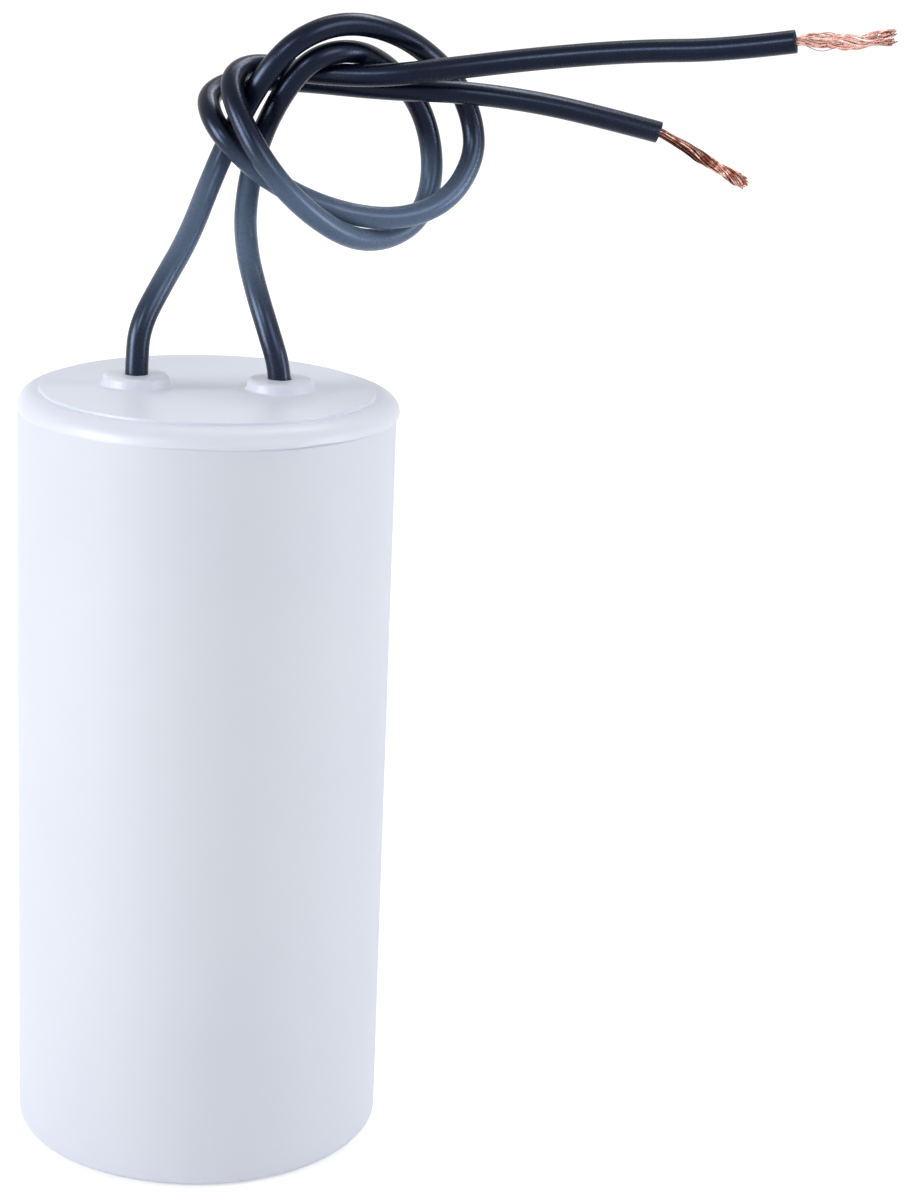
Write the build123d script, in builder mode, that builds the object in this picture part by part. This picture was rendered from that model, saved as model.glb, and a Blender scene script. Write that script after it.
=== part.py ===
import math
import os

from build123d import *

# Motor run capacitor: a round plastic can, potted inside, with two flying leads tied in one knot.
# Millimetres, +Z up, origin at the centre of the can's underside, leads side by side along X.

# Case: outside size, wall, floor and the rounded edges
case_d = 45.0
case_h = 91.0
case_wall = 1.6
floor_t = 1.8
base_edge_r = 1.5
floor_edge_r = 0.8

# Lid: rim over the case, rounded shoulder, raised top and the spigot inside the case
rim_overhang = 0.2
rim_h = 2.2
shoulder_r = 2.0
ledge_w = 2.75
top_rise = 0.4
top_edge_r = 0.2
lid_t = 2.0
spigot_h = 4.0
spigot_wall = 1.4
spigot_clear = 0.05

# Collars on the lid, one for each lead
collar_pitch = 17.1
collar_d = 8.1
collar_h = 1.3
collar_taper = 8.0
collar_edge_r = 0.5
collar_foot_r = 0.25
lead_clear = 0.1

# Leads: insulated diameter and the stripped copper
lead_d = 2.8
copper_d = 1.4

# Film roll and what joins it to the leads
core_d = 8.0
core_wall = 1.2
roll_gap = 2.0
roll_floor_gap = 5.6
roll_cover = 12.0
spray_t = 0.6
joint_d = 6.0
joint_top_d = 3.4
joint_h = 2.6
lower_joint_lap = 1.8
lower_joint_h = 1.6
lower_joint_edge_r = 0.7
resin_drop = 1.0
inner_bend_r = 4.5
inner_run = 5.0

# Places that follow from the sizes above
case_r = case_d / 2
bore_r = case_r - case_wall
rim_r = case_r + rim_overhang
top_r = rim_r - ledge_w
ledge_z = case_h + rim_h
lid_top_z = ledge_z + top_rise
lid_under_z = lid_top_z - lid_t
exit_z = lid_top_z + collar_h
resin_z = case_h - spigot_h - resin_drop
roll_r = bore_r - roll_gap
roll_low_z = floor_t + roll_floor_gap
roll_high_z = resin_z - roll_cover
spray_high_z = roll_high_z + spray_t
spray_low_z = roll_low_z - spray_t
core_r = core_d / 2
lead_x = collar_pitch / 2

# Lead routes, from the exit at the collar to the end of the insulation.
# Heights are above the collar's top face. Both leads go through one overhand knot, side by side.
left_route = [
    (-8.2, 0.3, 5.8),
    (-5.8, 2.5, 10.5),
    (-3.0, 7.0, 15.4),
    (-0.7, 11.6, 21.8),
    (1.9, 12.8, 28.0),
    (5.4, 10.0, 34.6),
    (9.5, 9.8, 39.2),
    (15.3, 12.0, 41.2),
    (22.0, 15.0, 39.6),
    (28.2, 19.6, 34.5),
    (30.8, 21.0, 29.4),
    (31.3, 20.0, 24.5),
    (28.2, 17.0, 19.4),
    (22.0, 14.2, 17.2),
    (14.0, 12.4, 18.4),
    (6.5, 9.5, 22.0),
    (1.7, 8.0, 26.4),
    (-0.8, 10.0, 29.4),
    (-1.5, 14.4, 31.8),
    (2.2, 17.4, 33.3),
    (8.8, 17.9, 33.4),
    (20.0, 15.6, 32.9),
    (29.0, 15.2, 33.0),
    (38.5, 18.3, 31.8),
    (47.5, 21.3, 29.8),
    (54.0, 24.0, 28.1),
]
right_route = [
    (7.1, 0.4, 5.2),
    (5.4, 2.4, 9.8),
    (3.9, 6.6, 14.2),
    (3.4, 11.4, 18.9),
    (4.7, 14.2, 26.2),
    (7.8, 11.8, 32.8),
    (11.3, 11.2, 37.0),
    (16.2, 13.5, 37.9),
    (20.6, 19.0, 35.2),
    (24.8, 21.6, 30.0),
    (26.4, 21.8, 22.8),
    (25.0, 19.8, 16.9),
    (20.8, 15.8, 14.5),
    (16.0, 11.2, 15.1),
    (10.2, 6.6, 19.6),
    (5.8, 5.0, 24.8),
    (2.4, 7.0, 30.6),
    (1.3, 10.5, 34.2),
    (4.0, 14.4, 35.6),
    (10.2, 14.7, 34.6),
    (19.2, 12.0, 34.6),
    (28.2, 11.9, 36.1),
    (38.5, 10.4, 37.8),
    (49.5, 7.4, 39.3),
    (59.5, 4.3, 40.0),
    (67.2, 2.0, 41.5),
]
left_rise = 1.5
right_rise = 0.7
strip_run = 1.2
left_copper_route = [(57.2, 25.3, 26.5), (60.4, 26.5, 24.7), (63.5, 27.8, 22.9), (66.3, 28.9, 21.4)]
right_copper_route = [(70.4, 0.9, 41.8), (73.4, -0.2, 41.8), (76.2, -1.2, 42.2), (78.6, -1.9, 43.1)]


def raised(route):
    """The route's points with their heights measured from the part's origin."""
    return [Vector(x, y, exit_z + height) for x, y, height in route]


def run_on(points, distance):
    """The point that lies straight on past the end of a route."""
    return points[-1] + (points[-1] - points[-2]).normalized() * distance


def corner_radii(points):
    """The largest even arc at each corner: 0.45 of the shorter run over the tangent of half the turn."""
    radii = []
    for before, corner, after in zip(points, points[1:], points[2:]):
        run_in = corner - before
        run_out = after - corner
        half_turn = math.radians(run_in.get_angle(run_out)) / 2
        radii.append(0.45 * min(run_in.length, run_out.length) / math.tan(half_turn))
    return radii


os.makedirs("parts", exist_ok=True)

# Case: a straight cup with rounded bottom edges inside and out
with BuildPart() as case:
    with BuildSketch():
        Circle(case_r)
    extrude(amount=case_h)
    fillet(case.edges().sort_by(Axis.Z)[0], radius=base_edge_r)
    with BuildSketch(Plane.XY.offset(floor_t)):
        Circle(bore_r)
    extrude(amount=case_h - floor_t, mode=Mode.SUBTRACT)
    floor_edge = case.edges().filter_by(GeomType.CIRCLE).filter_by_position(Axis.Z, floor_t, floor_t)
    fillet(floor_edge, radius=floor_edge_r)
case.part.label = "case"
export_step(case.part, "parts/case.step")

# Lid: one moulding, turned from its half section, with a collar and a hole for each lead
with BuildPart() as lid:
    with BuildSketch(Plane.XZ):
        with BuildLine():
            spigot_r = bore_r - spigot_clear
            Polyline(
                (0, lid_under_z),
                (spigot_r - spigot_wall, lid_under_z),
                (spigot_r - spigot_wall, case_h - spigot_h),
                (spigot_r, case_h - spigot_h),
                (spigot_r, case_h),
                (rim_r, case_h),
                (rim_r, ledge_z - shoulder_r),
            )
            RadiusArc((rim_r, ledge_z - shoulder_r), (rim_r - shoulder_r, ledge_z), -shoulder_r)
            Polyline(
                (rim_r - shoulder_r, ledge_z),
                (top_r, ledge_z),
                (top_r, lid_top_z),
                (0, lid_top_z),
                (0, lid_under_z),
            )
        make_face()
    revolve(axis=Axis.Z)
    top_edge = lid.edges().filter_by(GeomType.CIRCLE).sort_by(Axis.Z)[-1]
    fillet(top_edge, radius=top_edge_r)
    with BuildSketch(Plane.XY.offset(lid_top_z)):
        with GridLocations(collar_pitch, 0, 2, 1):
            Circle(collar_d / 2)
    extrude(amount=collar_h, taper=collar_taper)
    collar_rings = lid.edges().filter_by(GeomType.CIRCLE).filter_by_position(Axis.Z, exit_z, exit_z)
    fillet(collar_rings, radius=collar_edge_r)
    top_rings = lid.edges().filter_by(GeomType.CIRCLE).filter_by_position(Axis.Z, lid_top_z, lid_top_z)
    fillet(top_rings.filter_by(lambda ring: abs(ring.radius - collar_d / 2) < 0.01), radius=collar_foot_r)
    with Locations((-lead_x, 0, exit_z), (lead_x, 0, exit_z)):
        Hole(radius=lead_d / 2 + lead_clear)
lid.part.label = "lid"
export_step(lid.part, "parts/lid.step")

# Film roll: all turns of metallised film as one ring on the core
with BuildPart() as film_winding:
    with BuildSketch(Plane.XY.offset(roll_low_z)):
        Circle(roll_r)
        Circle(core_r, mode=Mode.SUBTRACT)
    extrude(amount=roll_high_z - roll_low_z)
film_winding.part.label = "film_winding"
export_step(film_winding.part, "parts/film_winding.step")

# Core: the plastic tube inside the roll, flush with the sprayed ends
with BuildPart() as winding_core:
    with BuildSketch(Plane.XY.offset(spray_low_z)):
        Circle(core_r)
        Circle(core_r - core_wall, mode=Mode.SUBTRACT)
    extrude(amount=spray_high_z - spray_low_z)
winding_core.part.label = "winding_core"
export_step(winding_core.part, "parts/winding_core.step")

# End sprays: a thin metal ring on each end of the roll
with BuildPart() as upper_end_spray:
    with BuildSketch(Plane.XY.offset(roll_high_z)):
        Circle(roll_r)
        Circle(core_r, mode=Mode.SUBTRACT)
    extrude(amount=spray_t)
upper_end_spray.part.label = "upper_end_spray"
export_step(upper_end_spray.part, "parts/upper_end_spray.step")

with BuildPart() as lower_end_spray:
    with BuildSketch(Plane.XY.offset(spray_low_z)):
        Circle(roll_r)
        Circle(core_r, mode=Mode.SUBTRACT)
    extrude(amount=spray_t)
lower_end_spray.part.label = "lower_end_spray"
export_step(lower_end_spray.part, "parts/lower_end_spray.step")

# Solder joints: a cone under the left lead, and a flat cap across the core for the right lead
with BuildPart() as upper_solder_joint:
    with Locations((-lead_x, 0, spray_high_z)):
        Cone(
            bottom_radius=joint_d / 2,
            top_radius=joint_top_d / 2,
            height=joint_h,
            align=(Align.CENTER, Align.CENTER, Align.MIN),
        )
upper_solder_joint.part.label = "upper_solder_joint"
export_step(upper_solder_joint.part, "parts/upper_solder_joint.step")

with BuildPart() as lower_solder_joint:
    with BuildSketch(Plane.XY.offset(spray_low_z)):
        Circle(core_r + lower_joint_lap)
    extrude(amount=-lower_joint_h)
    fillet(lower_solder_joint.edges().sort_by(Axis.Z)[0], radius=lower_joint_edge_r)
lower_solder_joint.part.label = "lower_solder_joint"
export_step(lower_solder_joint.part, "parts/lower_solder_joint.step")

# Hidden lengths of the leads: one straight down, one bent over to the core and down through it
with BuildPart() as left_lead_inner:
    with BuildSketch(Plane.XY.offset(lid_under_z)):
        with Locations((-lead_x, 0)):
            Circle(lead_d / 2)
    extrude(amount=spray_high_z + joint_h - lid_under_z)
left_lead_inner.part.label = "left_lead_inner"
export_step(left_lead_inner.part, "parts/left_lead_inner.step")

with BuildPart() as right_lead_inner:
    with BuildLine() as inner_path:
        FilletPolyline(
            (lead_x, 0, lid_under_z),
            (lead_x, 0, lid_under_z - inner_run),
            (0, 0, spray_high_z + inner_run),
            (0, 0, spray_low_z),
            radius=inner_bend_r,
        )
    with BuildSketch(Plane(origin=inner_path.line @ 0, z_dir=inner_path.line % 0)):
        Circle(lead_d / 2)
    sweep()
right_lead_inner.part.label = "right_lead_inner"
export_step(right_lead_inner.part, "parts/right_lead_inner.step")

# Resin: fills the case to just under the lid's spigot, around everything inside
with BuildPart() as resin_fill:
    with BuildSketch(Plane.XY.offset(floor_t)):
        Circle(bore_r)
    extrude(amount=resin_z - floor_t)
    fillet(resin_fill.edges().sort_by(Axis.Z)[0], radius=floor_edge_r)
    add(film_winding.part, mode=Mode.SUBTRACT)
    add(winding_core.part, mode=Mode.SUBTRACT)
    add(upper_end_spray.part, mode=Mode.SUBTRACT)
    add(lower_end_spray.part, mode=Mode.SUBTRACT)
    add(upper_solder_joint.part, mode=Mode.SUBTRACT)
    add(lower_solder_joint.part, mode=Mode.SUBTRACT)
    add(left_lead_inner.part, mode=Mode.SUBTRACT)
    add(right_lead_inner.part, mode=Mode.SUBTRACT)
resin_fill.part.label = "resin_fill"
export_step(resin_fill.part, "parts/resin_fill.step")

# Free leads: plain tubes from under the lid, up through the collars and along their routes
left_points = [
    Vector(-lead_x, 0, lid_under_z),
    Vector(-lead_x, 0, exit_z + left_rise),
    *raised(left_route),
]
with BuildPart() as left_lead:
    with BuildLine() as left_path:
        FilletPolyline(*left_points, radius=corner_radii(left_points))
    with BuildSketch(Plane(origin=left_path.line @ 0, z_dir=left_path.line % 0)):
        Circle(lead_d / 2)
    sweep()
left_lead.part.label = "left_lead"
export_step(left_lead.part, "parts/left_lead.step")

right_points = [
    Vector(lead_x, 0, lid_under_z),
    Vector(lead_x, 0, exit_z + right_rise),
    *raised(right_route),
]
with BuildPart() as right_lead:
    with BuildLine() as right_path:
        FilletPolyline(*right_points, radius=corner_radii(right_points))
    with BuildSketch(Plane(origin=right_path.line @ 0, z_dir=right_path.line % 0)):
        Circle(lead_d / 2)
    sweep()
right_lead.part.label = "right_lead"
export_step(right_lead.part, "parts/right_lead.step")

# Stripped ends: the copper strands, twisted together, as one round bundle on each lead
left_copper_points = [left_points[-1], run_on(left_points, strip_run), *raised(left_copper_route)]
with BuildPart() as left_bare_end:
    with BuildLine() as left_copper_path:
        FilletPolyline(*left_copper_points, radius=corner_radii(left_copper_points))
    with BuildSketch(Plane(origin=left_copper_path.line @ 0, z_dir=left_copper_path.line % 0)):
        Circle(copper_d / 2)
    sweep()
left_bare_end.part.label = "left_bare_end"
export_step(left_bare_end.part, "parts/left_bare_end.step")

right_copper_points = [right_points[-1], run_on(right_points, strip_run), *raised(right_copper_route)]
with BuildPart() as right_bare_end:
    with BuildLine() as right_copper_path:
        FilletPolyline(*right_copper_points, radius=corner_radii(right_copper_points))
    with BuildSketch(Plane(origin=right_copper_path.line @ 0, z_dir=right_copper_path.line % 0)):
        Circle(copper_d / 2)
    sweep()
right_bare_end.part.label = "right_bare_end"
export_step(right_bare_end.part, "parts/right_bare_end.step")

# Each lead's bends, and its volume against its section times its length
for name, piece, path, points, diameter in (
    ("left_lead", left_lead, left_path, left_points, lead_d),
    ("right_lead", right_lead, right_path, right_points, lead_d),
    ("left_bare_end", left_bare_end, left_copper_path, left_copper_points, copper_d),
    ("right_bare_end", right_bare_end, right_copper_path, right_copper_points, copper_d),
):
    length = path.wire().length
    share = piece.part.volume / (math.pi * diameter**2 / 4 * length)
    print(name, "length", round(length, 1), "volume share", round(share, 4))
    print("  radii", [round(radius, 1) for radius in corner_radii(points)])
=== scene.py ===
import math

import bmesh
import bpy
import numpy as np
from mathutils import Matrix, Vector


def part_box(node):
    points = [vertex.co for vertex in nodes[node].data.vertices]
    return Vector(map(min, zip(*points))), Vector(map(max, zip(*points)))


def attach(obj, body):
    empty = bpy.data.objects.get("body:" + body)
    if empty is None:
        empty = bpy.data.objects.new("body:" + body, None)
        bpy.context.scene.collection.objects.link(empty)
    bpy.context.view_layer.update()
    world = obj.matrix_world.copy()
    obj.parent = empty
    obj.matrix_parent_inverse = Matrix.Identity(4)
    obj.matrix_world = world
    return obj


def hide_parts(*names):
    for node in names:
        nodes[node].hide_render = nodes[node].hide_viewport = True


# Motor run capacitor: a potted white can with two black leads that share one overhand knot.
# Metres, +Z up, in the same frame as the solids.
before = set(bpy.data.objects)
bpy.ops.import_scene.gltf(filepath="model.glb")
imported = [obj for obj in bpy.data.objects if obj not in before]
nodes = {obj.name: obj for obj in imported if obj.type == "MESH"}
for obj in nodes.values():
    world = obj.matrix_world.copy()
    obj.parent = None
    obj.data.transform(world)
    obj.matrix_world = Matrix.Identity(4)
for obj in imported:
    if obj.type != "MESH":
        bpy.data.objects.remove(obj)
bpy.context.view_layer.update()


# Film roll: two metallised plastic films wound tight on a natural plastic tube, which hold the charge.
# The turns show as fine rings round the axis. Resin holds the roll in the middle of the can.
film_rings = 400.0


def screen(red, green, blue):
    """A screen colour from 0 to 255 as a shader's linear one: a power of 2.4 with a short straight foot."""
    part = np.array([red, green, blue]) / 255
    linear = np.where(part <= 0.04045, part / 12.92, ((part + 0.055) / 1.055) ** 2.4)
    return (*linear.tolist(), 1.0)


def add_node(tree, kind, inputs=None, **settings):
    """One shader node. Its settings come first, then its inputs: a socket is linked, a plain value is set."""
    node = tree.nodes.new(kind)
    for name, value in settings.items():
        setattr(node, name, value)
    for name, value in (inputs or {}).items():
        socket = next(each for each in node.inputs if each.name == name and each.enabled)
        if isinstance(value, bpy.types.NodeSocket):
            tree.links.new(value, socket)
        else:
            socket.default_value = value
    return node


def mix_colours(tree, share, first, second):
    """The first colour where the share is 0, the second where it is 1, and their blend between."""
    inputs = {"Factor": share, "A": first, "B": second}
    node = add_node(tree, "ShaderNodeMix", inputs, data_type="RGBA")
    return next(each for each in node.outputs if each.enabled)


def ramp(tree, value, low, high, start=0.0, end=1.0):
    """A value from low to high, stretched smoothly to run from start to end."""
    inputs = {"Value": value, "From Min": low, "From Max": high, "To Min": start, "To Max": end}
    return add_node(tree, "ShaderNodeMapRange", inputs, interpolation_type="SMOOTHSTEP").outputs["Result"]


def open_group(name, inputs, outputs):
    """An empty shader group with named sockets, its input node and its output node."""
    tree = bpy.data.node_groups.new(name, "ShaderNodeTree")
    for label, kind in inputs.items():
        tree.interface.new_socket(label, in_out="INPUT", socket_type="NodeSocket" + kind)
    for label, kind in outputs.items():
        tree.interface.new_socket(label, in_out="OUTPUT", socket_type="NodeSocket" + kind)
    return tree, tree.nodes.new("NodeGroupInput").outputs, tree.nodes.new("NodeGroupOutput").inputs


def make_surface_grain():
    """Two noises on one vector. The broad one blends the two colours, and the fine one is the grain's height
    and, stretched between two limits, the roughness."""
    tree, given, made = open_group(
        "surface_grain",
        {
            "Vector": "Vector",
            "Light": "Color",
            "Deep": "Color",
            "Patches": "Float",
            "Grain": "Float",
            "Sleek": "Float",
            "Rough": "Float",
        },
        {"Color": "Color", "Roughness": "Float", "Height": "Float"},
    )
    broad_inputs = {"Vector": given["Vector"], "Scale": given["Patches"], "Detail": 3.0}
    broad = add_node(tree, "ShaderNodeTexNoise", broad_inputs).outputs["Fac"]
    fine_inputs = {"Vector": given["Vector"], "Scale": given["Grain"], "Detail": 2.0}
    fine = add_node(tree, "ShaderNodeTexNoise", fine_inputs).outputs["Fac"]
    share = ramp(tree, broad, low=0.35, high=0.65)
    tree.links.new(mix_colours(tree, share, given["Light"], given["Deep"]), made["Color"])
    roughness = ramp(tree, fine, low=0.3, high=0.7, start=given["Sleek"], end=given["Rough"])
    tree.links.new(roughness, made["Roughness"])
    tree.links.new(fine, made["Height"])
    return tree


surface_grain = make_surface_grain()


def grained_material(name, light, deep, patches, grain, sleek, rough, relief, constants=None):
    """A material on surface_grain in Object coordinates, with the grain raised by relief in metres. The
    constants are set on the shader itself. Gives the material, its tree, its shader and its grain."""
    material = bpy.data.materials.new(name)
    material.use_nodes = True
    tree = material.node_tree
    shader = tree.nodes["Principled BSDF"]
    place = add_node(tree, "ShaderNodeTexCoord").outputs["Object"]
    inputs = {
        "Vector": place,
        "Light": light,
        "Deep": deep,
        "Patches": patches,
        "Grain": grain,
        "Sleek": sleek,
        "Rough": rough,
    }
    surface = add_node(tree, "ShaderNodeGroup", inputs, node_tree=surface_grain)
    bump = add_node(tree, "ShaderNodeBump", {"Height": surface.outputs["Height"], "Distance": relief})
    tree.links.new(surface.outputs["Color"], shader.inputs["Base Color"])
    tree.links.new(surface.outputs["Roughness"], shader.inputs["Roughness"])
    tree.links.new(bump.outputs["Normal"], shader.inputs["Normal"])
    for socket, value in (constants or {}).items():
        shader.inputs[socket].default_value = value
    return material, tree, shader, surface


def dress(node, material):
    """Gives a kept solid its finish."""
    nodes[node].data.materials.clear()
    nodes[node].data.materials.append(material)


def wound_film():
    """Metallised film: its grain, darkened along fine rings by a wave of the distance from the axis."""
    material, tree, shader, surface = grained_material(
        "metallised_film",
        screen(196, 199, 206),
        screen(176, 180, 188),
        patches=60.0,
        grain=900.0,
        sleek=0.22,
        rough=0.34,
        relief=0.00001,
        constants={"Metallic": 0.7},
    )
    place = tree.nodes["Texture Coordinate"].outputs["Object"]
    inputs = {"Vector": place, "Scale": film_rings, "Distortion": 0.4}
    turns = add_node(tree, "ShaderNodeTexWave", inputs, wave_type="RINGS", rings_direction="Z")
    ringed = mix_colours(tree, turns.outputs["Fac"], surface.outputs["Color"], screen(150, 153, 160))
    tree.links.new(ringed, shader.inputs["Base Color"])
    return material


dress("film_winding", wound_film())

core_plastic = grained_material(
    "core_plastic",
    screen(226, 222, 208),
    screen(214, 209, 192),
    patches=90.0,
    grain=1200.0,
    sleek=0.4,
    rough=0.55,
    relief=0.00001,
)[0]
dress("winding_core", core_plastic)


# Sprayed ends and solder joints: molten zinc is sprayed on each end of the roll so that it joins every turn.
# A lead is then soldered to each sprayed end, one beside the core and one across it.
sprayed_zinc = grained_material(
    "sprayed_zinc",
    screen(150, 152, 155),
    screen(112, 114, 118),
    patches=700.0,
    grain=2600.0,
    sleek=0.55,
    rough=0.8,
    relief=0.00006,
    constants={"Metallic": 0.85},
)[0]
for end in ("upper_end_spray", "lower_end_spray"):
    dress(end, sprayed_zinc)

solder = grained_material(
    "solder",
    screen(196, 197, 200),
    screen(160, 162, 167),
    patches=500.0,
    grain=1500.0,
    sleek=0.2,
    rough=0.42,
    relief=0.00003,
    constants={"Metallic": 1.0},
)[0]
for joint in ("upper_solder_joint", "lower_solder_joint"):
    dress(joint, solder)


# Hidden lengths of the leads: the same vinyl-covered wire as outside, from the lid down to the joints.
# One goes straight down, the other bends over and runs down through the core.
hidden_vinyl = grained_material(
    "hidden_vinyl",
    screen(30, 33, 44),
    screen(22, 24, 33),
    patches=120.0,
    grain=2200.0,
    sleek=0.38,
    rough=0.5,
    relief=0.000008,
    constants={"Specular IOR Level": 0.3},
)[0]
for hidden_lead in ("left_lead_inner", "right_lead_inner"):
    dress(hidden_lead, hidden_vinyl)


# Potting resin: poured in round the roll and set hard, so that nothing inside can move or get damp.
# It is dark, smooth where it lay against the can, with a slow swirl of filler.
potting_resin = grained_material(
    "potting_resin",
    screen(38, 38, 41),
    screen(27, 27, 30),
    patches=45.0,
    grain=800.0,
    sleek=0.2,
    rough=0.32,
    relief=0.00002,
)[0]
dress("resin_fill", potting_resin)


# Case: a straight cup moulded in bluish white plastic, with a satin skin and rounded bottom edges.
# Its mouth is welded to the lid, which leaves a fine seam that wanders a little and opens at the front right.
case_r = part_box("case")[1].x
case_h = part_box("case")[1].z
case_wall = 0.0016
bore_r = case_r - case_wall
floor_t = 0.0018
base_edge_r = 0.0015
floor_edge_r = 0.0008
mouth_edge_r = 0.0003
shut_edge_r = 0.00002
case_turns = 240
seam_waves = [(0.00005, 3, 0.7), (0.00003, 8, 2.1), (0.00002, 19, 0.0)]
seam_reach = 0.0009
seam_from_r = 0.021
seam_middle = math.radians(-35)
seam_shut = 0.62
seam_open = 0.82
seam_ripple = 0.3
ripple_waves = 6
ripple_start = 0.9
merge_gap = 1e-7
crease = math.radians(50)


def arc(centre_r, centre_z, radius, start, end, count=9):
    """A round corner of a section: the centre plus the radius times the cosine and sine of the angle."""
    turn = np.radians(np.linspace(start, end, count))
    return np.column_stack([centre_r + radius * np.cos(turn), centre_z + radius * np.sin(turn)])


def stretch(start, end, count):
    """A straight stretch of a section. Half a cosine wave sets its points closer towards both ends."""
    share = (1 - np.cos(np.linspace(0, np.pi, count))) / 2
    return np.array(start) + share[:, None] * (np.array(end) - np.array(start))


def turned(section, angles):
    """A section of radii and heights carried round the Z axis. A point's x and y are its radius times the
    cosine and the sine of the angle."""
    radius, height = section[:, :1], section[:, 1:]
    x, y = radius * np.cos(angles), radius * np.sin(angles)
    return np.stack([x, y, height + 0 * x], axis=-1)


def smooth_step(value, low, high):
    """0 up to low and 1 from high on. Between them, three times the share's square less twice its cube."""
    share = np.clip((value - low) / (high - low), 0, 1)
    return share**2 * (3 - 2 * share)


def seam_wander(grid):
    """Lifts the points near the seam by three sines of the angle, each with its size, count and start. The
    lift dies away above and below as a bell, and inwards it fades to nothing at seam_from_r."""
    angle = np.arctan2(grid[..., 1], grid[..., 0])
    lift = sum(size * np.sin(count * angle + start) for size, count, start in seam_waves)
    outside = np.clip((np.linalg.norm(grid[..., :2], axis=-1) - seam_from_r) / seam_reach, 0, 1)
    moved = grid.copy()
    moved[..., 2] += outside * lift * np.exp(-(((grid[..., 2] - case_h) / seam_reach) ** 2))
    return moved


def seam_blend(open_grid, shut_grid):
    """The seam's open and shut states blended round the can. The open one's share is a smooth step of the
    cosine of the angle, 1 over the front right and 0 on the left and behind, times a slow wave."""
    angle = np.arctan2(open_grid[..., 1:2], open_grid[..., :1])
    share = smooth_step(0.5 + 0.5 * np.cos(angle - seam_middle), seam_shut, seam_open)
    share = share * (1 - seam_ripple + seam_ripple * np.sin(ripple_waves * angle + ripple_start))
    return shut_grid + share * (open_grid - shut_grid)


def sew(name, grids, attributes=None):
    """One mesh from grids of points. Neighbours in a grid become four-sided faces, and points that meet are
    merged, which closes seams and poles. An attribute holds one vector for each grid point."""
    corner = [0, *np.cumsum([grid.shape[0] * grid.shape[1] for grid in grids])]
    faces = []
    for grid, first in zip(grids, corner):
        index = first + np.arange(grid.shape[0] * grid.shape[1]).reshape(grid.shape[:2])
        around = (index[:-1, :-1], index[:-1, 1:], index[1:, 1:], index[1:, :-1])
        faces.append(np.stack(around, axis=-1).reshape(-1, 4))
    points = np.vstack([grid.reshape(-1, 3) for grid in grids])
    mesh = bpy.data.meshes.new(name)
    mesh.from_pydata(points.tolist(), [], np.vstack(faces).tolist())
    for label, values in (attributes or {}).items():
        stored = mesh.attributes.new(label, "FLOAT_VECTOR", "POINT")
        stored.data.foreach_set("vector", np.vstack([each.reshape(-1, 3) for each in values]).ravel())
    shape = bmesh.new()
    shape.from_mesh(mesh)
    bmesh.ops.remove_doubles(shape, verts=shape.verts, dist=merge_gap)
    bmesh.ops.recalc_face_normals(shape, faces=shape.faces)
    shape.to_mesh(mesh)
    shape.free()
    mesh.shade_smooth()
    mesh.set_sharp_from_angle(angle=crease)
    piece = bpy.data.objects.new(name, mesh)
    bpy.context.scene.collection.objects.link(piece)
    return piece


def combine(tree, operation, first, second):
    """Two values made one by an operation, such as their product or the larger of the two."""
    node = add_node(tree, "ShaderNodeMath", operation=operation)
    tree.links.new(first, node.inputs[0])
    tree.links.new(second, node.inputs[1])
    return node.outputs["Value"]


def make_moulding_specks():
    """Small marks from the mould: round spots about the centres of random cells, of random strength. About
    half of the cells have none."""
    tree, given, made = open_group(
        "moulding_specks",
        {"Vector": "Vector", "Color": "Color", "Mark": "Color", "Cells": "Float", "Size": "Float"},
        {"Color": "Color"},
    )
    inputs = {"Vector": given["Vector"], "Scale": given["Cells"]}
    cells = add_node(tree, "ShaderNodeTexVoronoi", inputs).outputs
    spot = ramp(tree, cells["Distance"], low=0.0, high=given["Size"], start=1.0, end=0.0)
    chance = add_node(tree, "ShaderNodeSeparateXYZ", {"Vector": cells["Color"]}).outputs["X"]
    share = combine(tree, "MULTIPLY", spot, ramp(tree, chance, low=0.55, high=1.0))
    tree.links.new(mix_colours(tree, share, given["Color"], given["Mark"]), made["Color"])
    return tree


moulding_specks = make_moulding_specks()


def moulded_white(name, light, deep, sleek, rough, gloss):
    """The white moulding plastic: satin grain, a slow change of tone and a few faint marks from the mould."""
    material, tree, shader, surface = grained_material(
        name,
        light,
        deep,
        patches=22.0,
        grain=1400.0,
        sleek=sleek,
        rough=rough,
        relief=0.000006,
        constants={"Specular IOR Level": gloss},
    )
    inputs = {
        "Vector": tree.nodes["Texture Coordinate"].outputs["Object"],
        "Color": surface.outputs["Color"],
        "Mark": screen(176, 180, 190),
        "Cells": 85.0,
        "Size": 0.03,
    }
    marks = add_node(tree, "ShaderNodeGroup", inputs, node_tree=moulding_specks)
    tree.links.new(marks.outputs["Color"], shader.inputs["Base Color"])
    return material


def case_outline(edge_r):
    """Half the cup's section: out under the floor, up the outside, over the mouth with its outer edge rounded
    by edge_r, down the inside and back to the middle."""
    return np.vstack(
        [
            stretch((0, 0), (case_r - base_edge_r, 0), count=14),
            arc(case_r - base_edge_r, base_edge_r, base_edge_r, -90, 0),
            stretch((case_r, base_edge_r), (case_r, case_h - edge_r), count=60),
            arc(case_r - edge_r, case_h - edge_r, edge_r, 0, 90, count=5),
            stretch((case_r - edge_r, case_h), (bore_r, case_h), count=5),
            stretch((bore_r, case_h), (bore_r, floor_t + floor_edge_r), count=24),
            arc(bore_r - floor_edge_r, floor_t + floor_edge_r, floor_edge_r, 0, -90),
            stretch((bore_r - floor_edge_r, floor_t), (0, floor_t), count=12),
        ]
    )


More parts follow.
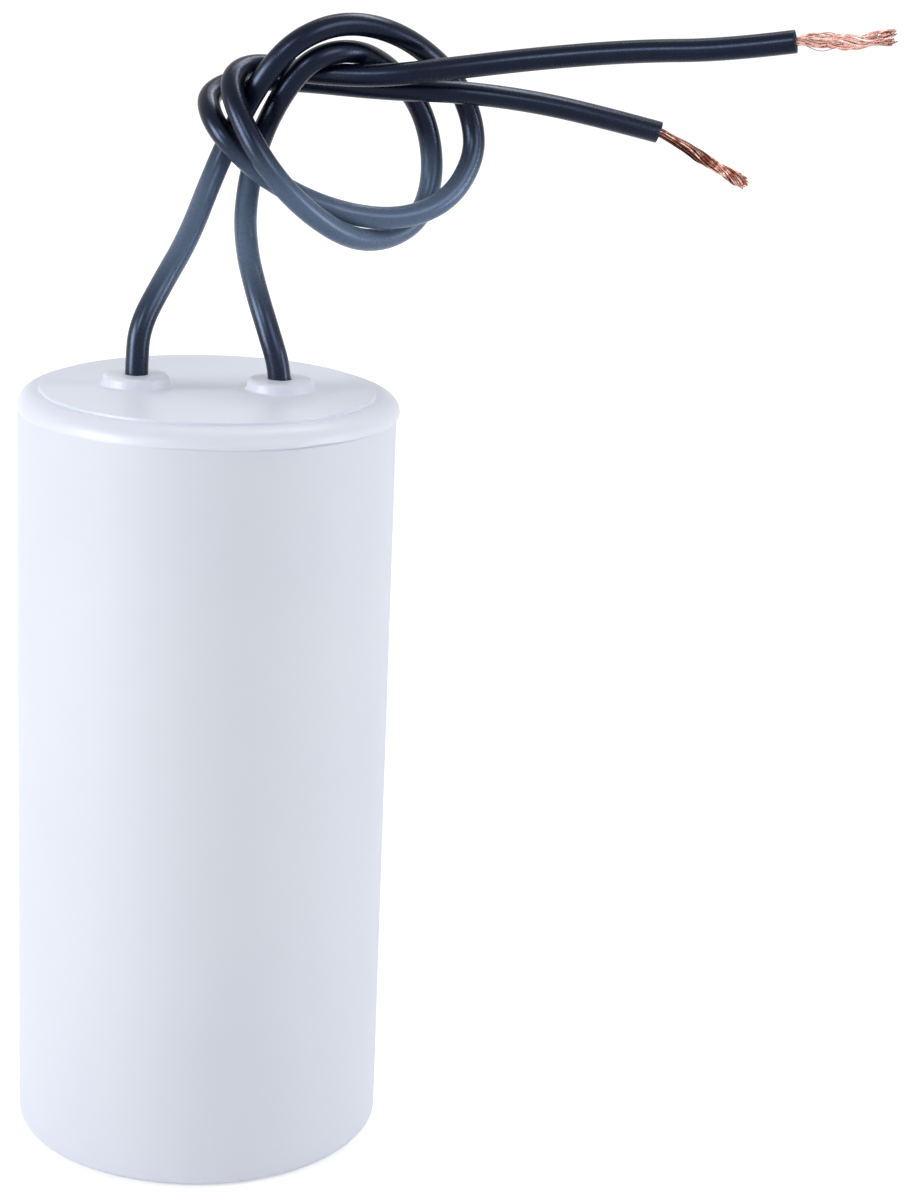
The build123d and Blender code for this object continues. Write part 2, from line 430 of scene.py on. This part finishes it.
case_angles = np.linspace(0, 2 * np.pi, case_turns + 1)
case_grids = [turned(case_outline(edge_r), case_angles) for edge_r in (mouth_edge_r, shut_edge_r)]
case_shell = sew("case_shell", [seam_wander(seam_blend(*case_grids))])
case_plastic = moulded_white(
    "case_plastic",
    screen(220, 225, 235),
    screen(217, 222, 233),
    sleek=0.48,
    rough=0.58,
    gloss=0.1,
)
case_shell.data.materials.append(case_plastic)
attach(case_shell, "root")
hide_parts("case")


# Lid: one moulding in the same plastic, with a spigot in the can's mouth and a rim a hair wider than the can.
# A quarter-round shoulder leads up to a raised round top that carries a low collar for each lead.
rim_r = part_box("lid")[1].x
collar_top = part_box("lid")[1].z
lead_x = (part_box("left_lead_inner")[0].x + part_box("left_lead_inner")[1].x) / -2
lead_d = 0.0028
collar_h = 0.0013
collar_r = 0.00405
collar_taper = math.radians(8)
collar_edge_r = 0.0005
collar_foot_r = 0.00025
collar_grip = 0.0001
hole_r = lead_d / 2 - collar_grip
hole_edge_r = 0.0001
hole_ring_depth = 0.0005
top_rise = 0.0004
top_edge_r = 0.00012
top_foot_r = 0.00008
ledge_w = 0.00275
shoulder_r = 0.002
lip_r = 0.0003
rim_push = 0.0002
lid_t = 0.002
spigot_h = 0.004
spigot_wall = 0.0014
spigot_clear = 0.00005
rim_steps = 121
split_steps = 61
top_z = collar_top - collar_h
ledge_z = top_z - top_rise
under_z = top_z - lid_t
top_r = rim_r - ledge_w
spigot_r = bore_r - spigot_clear
spigot_inner_r = spigot_r - spigot_wall
spigot_foot = case_h - spigot_h


def half_outline(radius):
    """Half a disc's outline: up the round side at even angles, then down the straight side in even steps."""
    turn = np.linspace(-np.pi / 2, np.pi / 2, rim_steps)
    back = np.linspace(1, -1, split_steps)[1:]
    x = np.concatenate([np.cos(turn), np.zeros(len(back))])
    y = np.concatenate([np.sin(turn), back])
    return radius * np.column_stack([x, y])


def round_collar(outline, radii, heights, shares, height):
    """Rings about a collar's axis. The collar's own rings are round, with given radii and heights. Past the
    last one, each ring goes a share of the way out to the outline, at one height."""
    out = outline - (lead_x, 0)
    reach = np.linalg.norm(out, axis=1)
    foot = radii[-1]
    distance = np.vstack([radii[:, None] + 0 * reach, foot + shares[:, None] * (reach - foot)])
    flat = (lead_x, 0) + distance[..., None] * (out / reach[:, None])
    level = np.concatenate([heights, np.full(len(shares), height)])
    return np.concatenate([flat, level[:, None, None] + 0 * flat[..., :1]], axis=-1)


lean = math.sin(collar_taper)
corner_reach = (1 - lean) / math.cos(collar_taper)
edge_top_r = collar_r - collar_h * math.tan(collar_taper) - collar_edge_r * corner_reach
foot_end_r = collar_r + collar_foot_r * corner_reach
slope = math.degrees(collar_taper)
hole_edge_z = collar_top - hole_edge_r
collar_section = np.vstack(
    [
        stretch((hole_r, top_z - hole_ring_depth), (hole_r, hole_edge_z), count=6),
        arc(hole_r + hole_edge_r, hole_edge_z, hole_edge_r, 180, 90, count=5),
        stretch((hole_r + hole_edge_r, collar_top), (edge_top_r, collar_top), count=8),
        arc(edge_top_r, collar_top - collar_edge_r, collar_edge_r, 90, slope, count=9),
        arc(foot_end_r, top_z + collar_foot_r, collar_foot_r, 180 + slope, 270, count=7),
    ]
)
top_outline = half_outline(top_r - top_edge_r)
under_outline = half_outline(spigot_inner_r)
hole_ring = round_collar(under_outline, np.array([hole_r]), np.array([under_z]), np.zeros(0), under_z)
top_shares = stretch((0, 0), (1, 0), count=16)[1:, 0]
top_grid = round_collar(top_outline, collar_section[:, 0], collar_section[:, 1], top_shares, top_z)
under_grid = round_collar(under_outline, np.array([hole_r]), np.array([under_z]), top_shares, under_z)


def rim_outline(edge_r):
    """Half the rim's section: down the step of the raised top, over the shoulder, round the lip by edge_r, in
    over the can's mouth and round the spigot."""
    return np.vstack(
        [
            arc(top_r - top_edge_r, top_z - top_edge_r, top_edge_r, 90, 0, count=6),
            arc(top_r + top_foot_r, ledge_z + top_foot_r, top_foot_r, 180, 270, count=5),
            stretch((top_r + top_foot_r, ledge_z), (rim_r - shoulder_r, ledge_z), count=8),
            arc(rim_r - shoulder_r, ledge_z - shoulder_r, shoulder_r, 90, 0, count=17),
            arc(rim_r - edge_r, case_h + edge_r, edge_r, 0, -90, count=6),
            stretch((rim_r - edge_r, case_h), (spigot_r, case_h), count=6),
            stretch((spigot_r, case_h), (spigot_r, spigot_foot), count=8),
            stretch((spigot_r, spigot_foot), (spigot_inner_r, spigot_foot), count=5),
            stretch((spigot_inner_r, spigot_foot), (spigot_inner_r, under_z), count=8),
        ]
    )


def pushed(grid):
    """The rim set a little to the right of the can: a shift along X by a smooth step of the radius."""
    moved = grid.copy()
    moved[..., 0] += rim_push * smooth_step(np.linalg.norm(grid[..., :2], axis=-1), seam_from_r, rim_r)
    return moved


right_angles = np.linspace(-np.pi / 2, np.pi / 2, rim_steps)
rim_halves = []
for angles in (right_angles, right_angles + np.pi):
    rim_grids = [turned(rim_outline(edge_r), angles) for edge_r in (lip_r, shut_edge_r)]
    rim_halves.append(pushed(seam_wander(seam_blend(*rim_grids))))
half_lid = [np.concatenate([hole_ring, top_grid]), under_grid]
other_half = [grid * (-1, -1, 1) for grid in half_lid]
lid_moulding = sew("lid_moulding", half_lid + other_half + rim_halves)
lid_plastic = moulded_white(
    "lid_plastic",
    screen(226, 231, 243),
    screen(222, 227, 240),
    sleek=0.34,
    rough=0.44,
    gloss=0.2,
)
lid_moulding.data.materials.append(lid_plastic)
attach(lid_moulding, "root")
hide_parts("lid")


# Leads: stranded copper wire in black vinyl. Each comes straight up through its collar, and both are tied
# together in one overhand knot before their tails spread out to the right.
left_length = 0.189
right_length = 0.190
lead_slack = 0.00003
lead_r = lead_d / 2 - lead_slack
vinyl_wall = 0.0007
strip_depth = 0.0025
bore_lip = 0.0001
cut_edge_r = 0.00006
cut_reach = 0.003
left_cut = (0.95, 0.0, -0.31)
right_cut = (0.95, -0.25, 0.19)
left_rise = 0.0015
right_rise = 0.0007
lead_sides = 32
lead_stations = 420
# Where the painted reflection of the white lid and floor on the leads grows in along the lead and fades out
# with height.
painted_reflection_start = 0.008
painted_reflection_full = 0.0215
painted_reflection_fade = 0.1145
painted_reflection_end = 0.1235
left_route = [
    (-0.0082, 0.0003, 0.0058),
    (-0.0058, 0.0025, 0.0105),
    (-0.0030, 0.0070, 0.0154),
    (-0.0007, 0.0116, 0.0218),
    (0.0019, 0.0128, 0.0280),
    (0.0054, 0.0100, 0.0346),
    (0.0095, 0.0098, 0.0392),
    (0.0153, 0.0120, 0.0412),
    (0.0220, 0.0150, 0.0396),
    (0.0282, 0.0196, 0.0345),
    (0.0308, 0.0210, 0.0294),
    (0.0313, 0.0200, 0.0245),
    (0.0282, 0.0170, 0.0194),
    (0.0220, 0.0140, 0.0172),
    (0.0140, 0.0125, 0.0183),
    (0.0065, 0.0095, 0.0220),
    (0.0017, 0.0080, 0.0264),
    (-0.0008, 0.0100, 0.0294),
    (-0.0015, 0.0144, 0.0318),
    (0.0022, 0.0174, 0.0333),
    (0.0088, 0.0179, 0.0334),
    (0.0200, 0.0156, 0.0329),
    (0.0290, 0.0152, 0.0330),
    (0.0385, 0.0183, 0.0318),
    (0.0475, 0.0213, 0.0298),
    (0.0543, 0.0241, 0.0280),
]
right_route = [
    (0.0071, 0.0004, 0.0052),
    (0.0054, 0.0024, 0.0098),
    (0.0039, 0.0066, 0.0142),
    (0.0034, 0.0114, 0.0189),
    (0.0047, 0.0142, 0.0262),
    (0.0078, 0.0118, 0.0328),
    (0.0113, 0.0112, 0.0369),
    (0.0162, 0.0135, 0.0378),
    (0.0206, 0.0190, 0.0352),
    (0.0248, 0.0216, 0.0300),
    (0.0264, 0.0218, 0.0228),
    (0.0250, 0.0198, 0.0169),
    (0.0208, 0.0160, 0.0145),
    (0.0160, 0.0110, 0.0152),
    (0.0102, 0.0066, 0.0196),
    (0.0058, 0.0050, 0.0248),
    (0.0024, 0.0070, 0.0306),
    (0.0013, 0.0105, 0.0342),
    (0.0040, 0.0144, 0.0356),
    (0.0102, 0.0147, 0.0346),
    (0.0192, 0.0120, 0.0347),
    (0.0282, 0.0119, 0.0361),
    (0.0385, 0.0104, 0.0378),
    (0.0495, 0.0074, 0.0393),
    (0.0595, 0.0043, 0.0400),
    (0.0674, 0.0019, 0.0415),
]


def raised(route):
    """Route points whose heights are measured from the collar's top, in the part's own frame."""
    return np.array(route) + (0, 0, collar_top)


def smooth_line(points):
    """Points read from a spline of order 3, which has the route's points as its control points and meets both
    ends."""
    curve = bpy.data.curves.new("route", "CURVE")
    curve.dimensions = "3D"
    curve.resolution_u = 16
    spline = curve.splines.new("NURBS")
    spline.points.add(len(points) - 1)
    spline.points.foreach_set("co", np.column_stack([points, np.ones(len(points))]).ravel())
    spline.order_u = 3
    spline.use_endpoint_u = True
    carrier = bpy.data.objects.new("route", curve)
    drawn = bpy.data.meshes.new_from_object(carrier)
    line = np.empty(3 * len(drawn.vertices))
    drawn.vertices.foreach_get("co", line)
    bpy.data.objects.remove(carrier)
    bpy.data.curves.remove(curve)
    bpy.data.meshes.remove(drawn)
    return line.reshape(-1, 3)


def carried_frame(line):
    """Distance along a line, and two vectors square to it that follow it without twist: each is the one
    before less its part along the line."""
    step = np.linalg.norm(np.diff(line, axis=0), axis=1)
    along = np.gradient(line, axis=0)
    along /= np.linalg.norm(along, axis=1, keepdims=True)
    side = np.empty_like(along)
    last = np.array([0.0, 1.0, 0.0])
    for place, way in enumerate(along):
        last = last - way * (last @ way)
        last = last / np.linalg.norm(last)
        side[place] = last
    return np.concatenate([[0], np.cumsum(step)]), side, np.cross(along, side)


def read_along(distance, values, stations):
    """Vectors given at the distances, read at the stations by straight blends."""
    return np.stack([np.interp(stations, distance, values[:, axis]) for axis in range(3)], axis=-1)


def make_lead(name, points, cut, material):
    """A lead of round section: at each station the line's point plus the radius times the cosine and sine of
    the turn along the two carried vectors. The stations run to the cut, in over its edge and down the bore.
    Over the last stretch the rings slide along the line until they lie in the plane of the cut."""
    line = smooth_line(points)
    distance, side, upper = carried_frame(line)
    length = distance[-1]
    body = np.linspace(0, length - cut_edge_r, lead_stations)
    edge = arc(lead_r - cut_edge_r, 0, cut_edge_r, 0, 90, count=5)
    inner_r = lead_r - vinyl_wall
    bottom = length - strip_depth
    bore = [length, length, bottom, bottom]
    bore_radii = [inner_r + bore_lip, inner_r, inner_r, 0]
    stations = np.concatenate([[0], body, length - cut_edge_r + edge[:, 1], bore])
    radii = np.concatenate([[0], np.full(len(body), lead_r), edge[:, 0], bore_radii])
    turn = np.linspace(0, 2 * np.pi, lead_sides + 1)
    centre = read_along(distance, line, stations)[:, None]
    across = np.cos(turn)[:, None] * read_along(distance, side, stations)[:, None]
    over = np.sin(turn)[:, None] * read_along(distance, upper, stations)[:, None]
    spread = radii[:, None, None] * (across + over)
    way = line[-1] - line[-2]
    near_cut = np.clip((stations - length + cut_reach) / cut_reach, 0, 1)
    slide = -(spread @ np.array(cut)) / (way @ np.array(cut))
    grid = centre + spread + (near_cut[:, None] * slide)[..., None] * way
    level = stations[:, None] + 0 * turn
    share = radii[:, None] / lead_r
    place = np.stack([share * np.cos(turn), share * np.sin(turn), level], axis=-1)
    lead = sew(name, [grid], {"along_lead": [place]})
    lead.data.materials.append(material)
    return lead, line


def lead_vinyl():
    """Black vinyl with a painted reflection of the white lid and floor: a slate blend that grows with the
    length drawn from the lid and dies away with height. Faint streaks run along the lead, and the vinyl is
    dull inside the edge of its cut."""
    material, tree, shader, surface = grained_material(
        "black_vinyl",
        screen(5, 9, 28),
        screen(3, 6, 19),
        patches=150.0,
        grain=2500.0,
        sleek=0.26,
        rough=0.32,
        relief=0.0000005,
        constants={"Specular IOR Level": 0.26, "Specular Tint": (0.49, 0.64, 1.0, 1.0)},
    )
    place = tree.nodes["Texture Coordinate"].outputs["Object"]
    height = add_node(tree, "ShaderNodeSeparateXYZ", {"Vector": place}).outputs["Z"]
    # Painted reflection: a lighter slate blend for the white lid and floor seen in the vinyl, low on the
    # leads.
    reflection_falling = ramp(tree, height, low=painted_reflection_fade, high=painted_reflection_end, start=1.0, end=0.0)
    drawn_place = add_node(tree, "ShaderNodeAttribute", attribute_name="along_lead").outputs["Vector"]
    drawn_length = add_node(tree, "ShaderNodeSeparateXYZ", {"Vector": drawn_place}).outputs["Z"]
    reflection_rising = ramp(tree, drawn_length, low=painted_reflection_start, high=painted_reflection_full, start=0.1, end=1.0)
    painted_reflection = combine(tree, "MULTIPLY", reflection_rising, reflection_falling)
    with_painted_reflection = mix_colours(tree, painted_reflection, surface.outputs["Color"], screen(90, 106, 129))
    drawn_lines = add_node(tree, "ShaderNodeMapping", {"Vector": drawn_place, "Scale": (3.0, 3.0, 60.0)})
    streak_inputs = {"Vector": drawn_lines.outputs["Vector"], "Scale": 2.0, "Detail": 3.0}
    streaks = add_node(tree, "ShaderNodeTexNoise", streak_inputs).outputs["Fac"]
    streak_share = ramp(tree, streaks, low=0.35, high=0.8, start=0.0, end=0.06)
    streaked = mix_colours(tree, streak_share, with_painted_reflection, screen(56, 64, 82))
    tree.links.new(streaked, shader.inputs["Base Color"])
    flat_place = add_node(tree, "ShaderNodeMapping", {"Vector": drawn_place, "Scale": (1.0, 1.0, 0.0)})
    off_inputs = {"Vector": flat_place.outputs["Vector"]}
    off_centre = add_node(tree, "ShaderNodeVectorMath", off_inputs, operation="LENGTH").outputs["Value"]
    cut_dullness = ramp(tree, off_centre, low=0.93, high=0.98, start=0.9, end=0.0)
    roughness = combine(tree, "MAXIMUM", surface.outputs["Roughness"], cut_dullness)
    tree.links.new(roughness, shader.inputs["Roughness"])
    return material


vinyl = lead_vinyl()
left_points = np.vstack([[(-lead_x, 0, under_z), (-lead_x, 0, collar_top + left_rise)], raised(left_route)])
right_points = np.vstack([[(lead_x, 0, under_z), (lead_x, 0, collar_top + right_rise)], raised(right_route)])
left_lead, left_line = make_lead("left_lead_wire", left_points, left_cut, vinyl)
right_lead, right_line = make_lead("right_lead_wire", right_points, right_cut, vinyl)


# Bare ends: the last of each lead is stripped and its fine copper strands are twisted by hand.
# The right one is loose, frayed at both ends, and the left one is tighter, with a lay like a rope.
strand_sides = 6
strand_stations = 60
golden_turn = 2.39996
end_spread = 0.09
strand_wave = 0.0022
lay_wave = 0.0045
wave_spread = 0.004
least_swing = 0.3
swing_spread = 2.2
loosening = 6
own_tone = 0.4
stain_start = 0.006
stain_end = 0.0095
tuck = 0.002
left_strip_run = 0.0004
right_strip_run = 0.0012
left_copper_route = [
    (0.0575, 0.0254, 0.0263),
    (0.0608, 0.0267, 0.0244),
    (0.0639, 0.0279, 0.0226),
    (0.0667, 0.0291, 0.0211),
]
right_copper_route = [
    (0.0704, 0.0009, 0.0418),
    (0.0734, -0.0002, 0.0418),
    (0.0762, -0.0012, 0.0422),
    (0.0789, -0.0020, 0.0432),
]


def tubes(centre, side, tube_r):
    """A closed tube about each of many lines: the line's point plus the radius times the cosine and sine of
    the turn along two vectors square to it. The radius is 0 at both ends, which closes them."""
    way = np.gradient(centre, axis=1)
    way /= np.linalg.norm(way, axis=-1, keepdims=True)
    across = side - way * np.sum(side * way, axis=-1, keepdims=True)
    across /= np.linalg.norm(across, axis=-1, keepdims=True)
    over = np.cross(way, across)
    turn = np.linspace(0, 2 * np.pi, strand_sides + 1)[:, None]
    ring = np.cos(turn) * across[:, :, None] + np.sin(turn) * over[:, :, None]
    thickness = np.pad(np.full(strand_stations, tube_r), 1)
    padded_centre = np.pad(centre, ((0, 0), (1, 1), (0, 0)), mode="edge")
    padded_ring = np.pad(ring, ((0, 0), (1, 1), (0, 0), (0, 0)), mode="edge")
    return padded_centre[:, :, None] + thickness[:, None, None] * padded_ring


def make_strands(
    name, points, count, lays, gather, bells, turns, ease, sway, waver, slant, strand_r, material, seed
):
    """Twisted strands, shared out into lays that wind round each other. A strand's place is its lay's place
    plus a sunflower place inside the lay, both times the bundle's radius. That radius is a sum of bells, each
    with its place, size and width. The turn grows as a power of the distance. Each lay sways and each strand
    wavers by two sines of its own, which grow over the first sixth of the bare length."""
    rng = np.random.default_rng(seed)
    line = smooth_line(points)
    distance, side, upper = carried_frame(line)
    length = distance[-1]
    order = np.arange(count)
    lay = order % lays
    lay_turn = 2 * np.pi * lay[:, None] / lays
    rank = np.sqrt((order // lays + 0.5) / math.ceil(count / lays))[:, None]
    inner_turn = golden_turn * (order // lays)[:, None] + lay_turn
    high = gather * np.sin(lay_turn + 2 * np.pi * turns) + (1 - gather) * rank * np.sin(inner_turn)
    ends = length * (1 - end_spread * rng.random((count, 1))) - slant * (1 - high) / 2
    stations = np.linspace(0, 1, strand_stations) * ends
    free = np.clip((stations - tuck) / (length - tuck), 0, 1)
    loosened = np.clip(loosening * free, 0, 1)
    bundle_r = sum(size * np.exp(-(((stations - tuck - at) / width) ** 2)) for at, size, width in bells)
    twist = 2 * np.pi * turns * free**ease
    pace = 2 * np.pi / (strand_wave + wave_spread * rng.random((2, count, 1)))
    start = 2 * np.pi * rng.random((2, count, 1))
    swing = waver * (least_swing + swing_spread * rng.random((count, 1)) ** 3) * loosened
    lay_pace = 2 * np.pi / (lay_wave + wave_spread * rng.random((2, lays, 1)))[:, lay]
    lay_start = 2 * np.pi * rng.random((2, lays, 1))[:, lay]
    flat = [
        bundle_r * (gather * turn(lay_turn + twist) + (1 - gather) * rank * turn(inner_turn + twist))
        + sway * loosened * np.sin(lay_pace[axis] * stations + lay_start[axis])
        + swing * np.sin(pace[axis] * stations + start[axis])
        for axis, turn in enumerate((np.cos, np.sin))
    ]
    strand_side = read_along(distance, side, stations)
    strand_upper = read_along(distance, upper, stations)
    offset = flat[0][..., None] * strand_side + flat[1][..., None] * strand_upper
    grids = tubes(read_along(distance, line, stations) + offset, strand_side, strand_r)
    everywhere = 0 * grids[..., 0]
    own_chance = own_tone * rng.random((count, 1, 1))
    lay_chance = (1 - own_tone) * rng.random((lays, 1, 1))[lay]
    chance = own_chance + lay_chance + everywhere
    level = np.pad(stations, ((0, 0), (1, 1)), mode="edge")[..., None] + everywhere
    # The rank is stored as depth, which the copper uses for painted shade on the inner strands.
    depth = rank[:, None] + everywhere
    strands = sew(name, list(grids), {"strand": list(np.stack([chance, level, depth], axis=-1))})
    strands.data.materials.append(material)
    return strands


def copper_points(lead_points, strip_run, route):
    """The copper's route: from a little way inside the vinyl, straight on out of its end, then along its own
    points."""
    end = lead_points[-1]
    way = end - lead_points[-2]
    way = way / np.linalg.norm(way)
    return np.vstack([end - tuck * way, end, end + strip_run * way, raised(route)])


def copper_material(name, bright, dull, deep, near_stain, far_stain):
    """Bare copper. Each strand has its own share of tarnish, and the inner ones carry a painted shade towards
    the deep colour. A stain, strongest on the tarnished strands, goes from near_stain by the vinyl to
    far_stain at the bundle's end."""
    material, tree, shader, surface = grained_material(
        name,
        bright,
        dull,
        patches=900.0,
        grain=4000.0,
        sleek=0.24,
        rough=0.42,
        relief=0.000004,
        constants={"Metallic": 1.0},
    )
    look = add_node(tree, "ShaderNodeAttribute", attribute_name="strand").outputs["Vector"]
    parts = add_node(tree, "ShaderNodeSeparateXYZ", {"Vector": look}).outputs
    chance, level, depth = parts["X"], parts["Y"], parts["Z"]
    tarnish = ramp(tree, chance, low=0.3, high=0.8, start=0.0, end=0.9)
    strand_tone = mix_colours(tree, tarnish, surface.outputs["Color"], dull)
    strand_share = ramp(tree, chance, low=0.2, high=0.4, start=0.15, end=1.0)
    stain_from = tuck + stain_start
    stain_to = tuck + stain_end
    stain_share = ramp(tree, level, low=stain_from, high=stain_to, start=near_stain, end=far_stain)
    stain = combine(tree, "MULTIPLY", strand_share, stain_share)
    stained_tone = mix_colours(tree, stain, strand_tone, deep)
    # Painted shade: strands deeper inside the bundle are darkened towards the deep colour.
    painted_inner_shade = ramp(tree, depth, low=0.3, high=0.9, start=0.6, end=0.0)
    tree.links.new(mix_colours(tree, painted_inner_shade, stained_tone, deep), shader.inputs["Base Color"])
    return material


twisted_copper = copper_material(
    "twisted_copper",
    screen(246, 208, 194),
    screen(142, 82, 68),
    screen(80, 34, 26),
    near_stain=0.85,
    far_stain=0.13,
)
loose_copper = copper_material(
    "loose_copper",
    screen(252, 230, 224),
    screen(212, 168, 156),
    screen(138, 90, 80),
    near_stain=0.0,
    far_stain=0.4,
)
stray_copper = copper_material(
    "stray_copper",
    screen(176, 136, 126),
    screen(132, 92, 84),
    screen(104, 66, 60),
    near_stain=0.0,
    far_stain=0.0,
)
left_strands = make_strands(
    "left_copper_strands",
    copper_points(left_points, left_strip_run, left_copper_route),
    count=60,
    lays=5,
    gather=0.3,
    bells=[(-0.001, 0.00052, 0.004), (0.006, 0.00074, 0.0042), (0.0135, 0.00088, 0.0042)],
    turns=0.75,
    ease=2.2,
    sway=0.00004,
    waver=0.00004,
    slant=0.0006,
    strand_r=0.00009,
    material=twisted_copper,
    seed=7,
)
right_copper_points = copper_points(right_points, right_strip_run, right_copper_route)
right_strands = make_strands(
    "right_copper_strands",
    right_copper_points,
    count=77,
    lays=7,
    gather=0.52,
    bells=[
        (-0.001, 0.00042, 0.002),
        (0.0027, 0.00096, 0.0021),
        (0.0066, 0.00060, 0.0022),
        (0.0111, 0.00106, 0.0030),
    ],
    turns=0.4,
    ease=1.0,
    sway=0.0002,
    waver=0.00006,
    slant=0.0016,
    strand_r=0.0001,
    material=loose_copper,
    seed=3,
)
right_hairs = make_strands(
    "right_stray_hairs",
    right_copper_points,
    count=10,
    lays=1,
    gather=0.0,
    bells=[(0.0032, 0.00135, 0.0024), (0.0105, 0.00105, 0.0026)],
    turns=0.2,
    ease=1.0,
    sway=0.0,
    waver=0.0002,
    slant=0.004,
    strand_r=0.00005,
    material=stray_copper,
    seed=11,
)
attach(right_hairs, "root")
for strands, node in ((left_strands, "left_bare_end"), (right_strands, "right_bare_end")):
    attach(strands, "root")
    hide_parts(node)
for lead, line, node, copper, exit_x, length in (
    (left_lead, left_line, "left_lead", [left_strands], -lead_x, left_length),
    (right_lead, right_line, "right_lead", [right_strands, right_hairs], lead_x, right_length),
):
    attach(lead, "root")
    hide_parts(node)


# Floor and light: a plain white sweep, a broad soft lamp on the left, weaker ones on the right and above, and
# an even sky. The sheen lamps light nothing matt and only shine in the leads, the copper and the plastic.
# The floor and the sky are white to the camera and in reflections, and the floor keeps the can's soft shadow.
floor_rings = 24
floor_turns = 96
floor_size = 3.0
floor_bounce = 0.4
sky_level = 0.62
can_middle = (0, 0, 0.07)
lead_feet = (0, 0, 0.105)
knot_foot = (0.01, 0.01, 0.12)
knot_middle = (0.03, 0.01, 0.13)
scene = bpy.context.scene
scene.view_settings.view_transform = "Standard"


def seen_ray(tree):
    """1 for rays that show a surface itself: camera, mirror and see-through rays. 0 for soft light."""
    path = add_node(tree, "ShaderNodeLightPath").outputs
    direct = combine(tree, "MAXIMUM", path["Is Camera Ray"], path["Is Glossy Ray"])
    return combine(tree, "MAXIMUM", direct, path["Is Transmission Ray"])


def white_paper():
    """Matt white paper that glows, by a smooth step of the distance from the middle. Soft light gets only a
    part of the glow."""
    material = bpy.data.materials.new("white_paper")
    material.use_nodes = True
    tree = material.node_tree
    shader = tree.nodes["Principled BSDF"]
    shader.inputs["Base Color"].default_value = (0.96, 0.96, 0.96, 1)
    shader.inputs["Roughness"].default_value = 0.9
    shader.inputs["Specular IOR Level"].default_value = 0.0
    shader.inputs["Emission Color"].default_value = (1, 1, 1, 1)
    place = add_node(tree, "ShaderNodeTexCoord").outputs["Object"]
    far = add_node(tree, "ShaderNodeVectorMath", {"Vector": place}, operation="LENGTH").outputs["Value"]
    glow = ramp(tree, far, low=0.15, high=0.9, start=0.3, end=0.5)
    shown = ramp(tree, seen_ray(tree), low=0.0, high=1.0, start=floor_bounce, end=1.0)
    tree.links.new(combine(tree, "MULTIPLY", glow, shown), shader.inputs["Emission Strength"])
    return material


floor_section = np.column_stack([np.linspace(0, 1, floor_rings) ** 2 * floor_size, np.zeros(floor_rings)])
floor = sew("floor", [turned(floor_section, np.linspace(0, 2 * np.pi, floor_turns + 1))])
floor.data.materials.append(white_paper())

world = bpy.data.worlds.new("white_room")
world.use_nodes = True
scene.world = world
sky_tree = world.node_tree
sky = sky_tree.nodes["Background"]
sky.inputs["Color"].default_value = (1, 1, 1, 1)
sky_inputs = {"Value": seen_ray(sky_tree), "To Min": sky_level, "To Max": 1.0}
sky_strength = add_node(sky_tree, "ShaderNodeMapRange", sky_inputs).outputs["Result"]
sky_tree.links.new(sky_strength, sky.inputs["Strength"])


def soft_lamp(name, place, target, size, power, lights=True, shines=True):
    """A flat lamp at a place, turned to face the target. It lights matt surfaces, shines in glossy ones, or
    both."""
    data = bpy.data.lights.new(name, "AREA")
    data.shape = "RECTANGLE"
    data.size, data.size_y = size
    data.energy = power
    lamp = bpy.data.objects.new(name, data)
    lamp.location = place
    way = np.array(target) - np.array(place)
    heading = math.atan2(way[1], way[0]) - math.pi / 2
    tilt = math.pi / 2 + math.atan2(way[2], math.hypot(way[0], way[1]))
    lamp.rotation_euler = (tilt, 0, heading)
    lamp.visible_diffuse = lights
    lamp.visible_glossy = shines
    lamp.visible_camera = False
    scene.collection.objects.link(lamp)


soft_lamp("key_lamp", (-0.80, -0.26, 0.28), can_middle, size=(0.32, 0.34), power=2.85)
soft_lamp("fill_lamp", (0.70, 0.05, 0.50), can_middle, size=(0.26, 0.30), power=1.65, shines=False)
soft_lamp("back_lamp", (0.06, 0.31, 0.78), knot_foot, size=(0.36, 0.09), power=0.8)
soft_lamp("right_sheen", (0.50, -0.62, 0.48), knot_foot, size=(0.40, 0.40), power=4.4, lights=False)
soft_lamp("left_sheen", (-0.35, -0.71, 0.50), knot_middle, size=(0.22, 0.22), power=3.0, lights=False)
soft_lamp("rear_sheen", (0.30, 0.30, 0.75), knot_foot, size=(0.50, 0.14), power=3.0, lights=False)
soft_lamp("left_low_sheen", (-0.36, -0.21, 0.105), lead_feet, size=(0.20, 0.27), power=3.6, lights=False)
soft_lamp("right_low_sheen", (0.42, -0.11, 0.105), lead_feet, size=(0.12, 0.19), power=1.1, lights=False)


# Camera: where the photograph was taken from, a little above the lid and almost straight in front.
# It is turned a few degrees to the right of the can and rolled slightly.
eye = (0.018985, -0.329253, 0.1617)
heading = math.radians(-2.04)
tilt = math.radians(90 - 15.84)
roll = math.radians(2.34)
focal_px = 2813
frame_px = 1200
camera_data = bpy.data.cameras.new("camera")
camera_data.sensor_width = 36
camera_data.lens = camera_data.sensor_width * focal_px / frame_px
camera_data.clip_start = 0.01
camera = bpy.data.objects.new("camera", camera_data)
turn = Matrix.Rotation(heading, 4, "Z") @ Matrix.Rotation(tilt, 4, "X") @ Matrix.Rotation(roll, 4, "Z")
camera.matrix_world = Matrix.Translation(eye) @ turn
scene.collection.objects.link(camera)
scene.camera = camera
